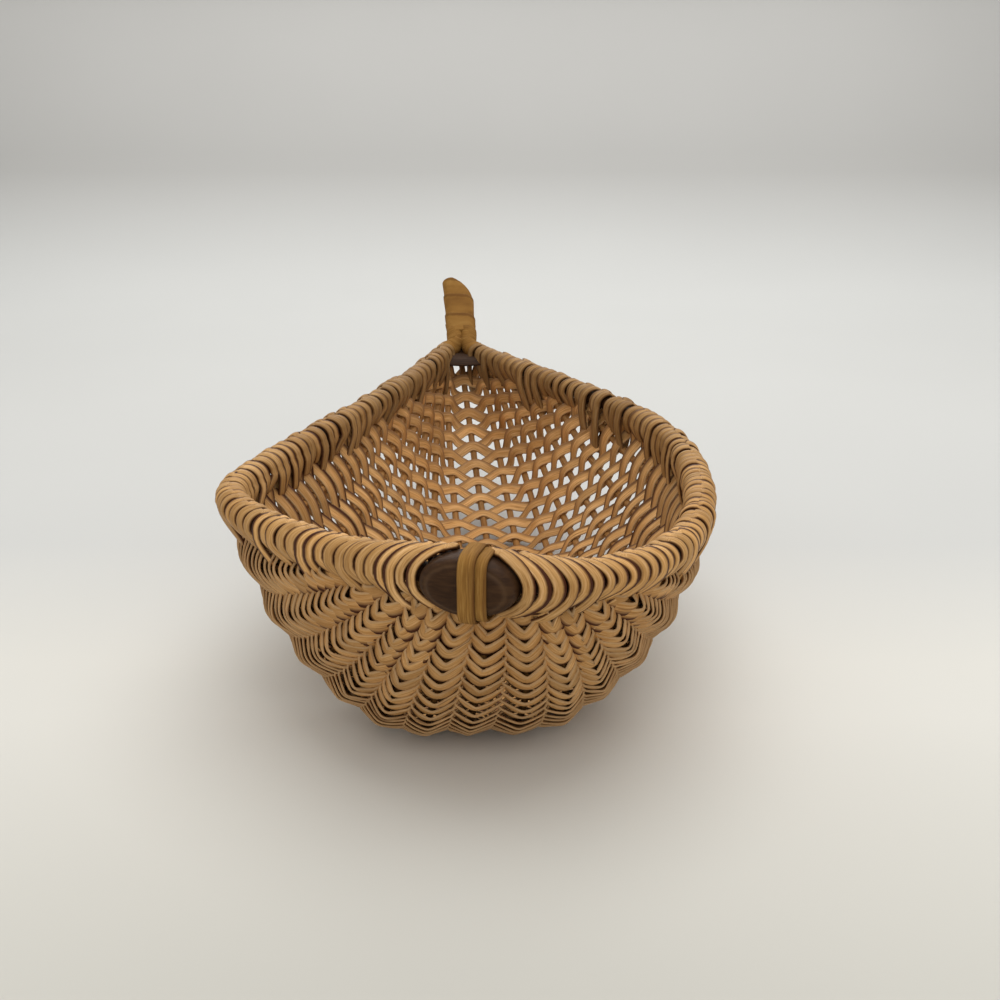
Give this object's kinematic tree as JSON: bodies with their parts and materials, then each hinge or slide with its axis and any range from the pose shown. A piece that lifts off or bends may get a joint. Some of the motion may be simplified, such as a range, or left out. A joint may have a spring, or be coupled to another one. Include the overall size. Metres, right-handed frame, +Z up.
{
  "type": "banana-shaped woven basket",
  "caption": "Banana-shaped rib basket of split cane: a wound oval hoop rim with an oval boss at the blunt end and a short upturned stem at the other.",
  "frame": {"origin": "On the table plane, under the middle of the bounding box of the whole basket.", "axes": "+Z up, +Y from the blunt blossom end to the stem, +X to the right when the basket is looked at from its blunt end."},
  "size_m": [0.171, 0.3474, 0.1065],
  "materials": {
    "weave_cane": "satin split cane",
    "winding_cane": "satin flat cane with its natural skin",
    "binding_cane": "satin flat cane with its natural skin",
    "rib_cane": "bare shaved cane",
    "rod": "dark stained round rod",
    "boss_wood": "dark smooth wood"
  },
  "bodies": {
    "root": {"rim_hoop": "rod", "rim_winding_left": "winding_cane", "rim_winding_right": "winding_cane", "throat_lashing": "binding_cane", "stem_winding": "binding_cane", "blossom_boss": "boss_wood", "boss_strap_over": "binding_cane", "boss_strap_under": "binding_cane", "rib_keel": "rib_cane", "rib_left_1": "rib_cane", "rib_left_2": "rib_cane", "rib_left_3": "rib_cane", "rib_left_4": "rib_cane", "rib_left_5": "rib_cane", "rib_left_6": "rib_cane", "rib_right_1": "rib_cane", "rib_right_2": "rib_cane", "rib_right_3": "rib_cane", "rib_right_4": "rib_cane", "rib_right_5": "rib_cane", "rib_right_6": "rib_cane", "weaver_01": "weave_cane", "weaver_02": "weave_cane", "weaver_03": "weave_cane", "weaver_04": "weave_cane", "weaver_05": "weave_cane", "weaver_06": "weave_cane", "weaver_07": "weave_cane", "weaver_08": "weave_cane", "weaver_09": "weave_cane", "weaver_10": "weave_cane", "weaver_11": "weave_cane", "weaver_12": "weave_cane", "weaver_13": "weave_cane", "weaver_14": "weave_cane", "weaver_15": "weave_cane", "weaver_16": "weave_cane", "weaver_17": "weave_cane", "weaver_18": "weave_cane", "weaver_19": "weave_cane", "weaver_20": "weave_cane", "weaver_21": "weave_cane", "weaver_22": "weave_cane", "weaver_23": "weave_cane", "weaver_24": "weave_cane", "weaver_25": "weave_cane", "weaver_26": "weave_cane", "weaver_27": "weave_cane", "weaver_28": "weave_cane", "weaver_29": "weave_cane", "weaver_30": "weave_cane", "weaver_31": "weave_cane", "weaver_32": "weave_cane", "weaver_33": "weave_cane", "weaver_34": "weave_cane"}
  },
  "joints": []
}
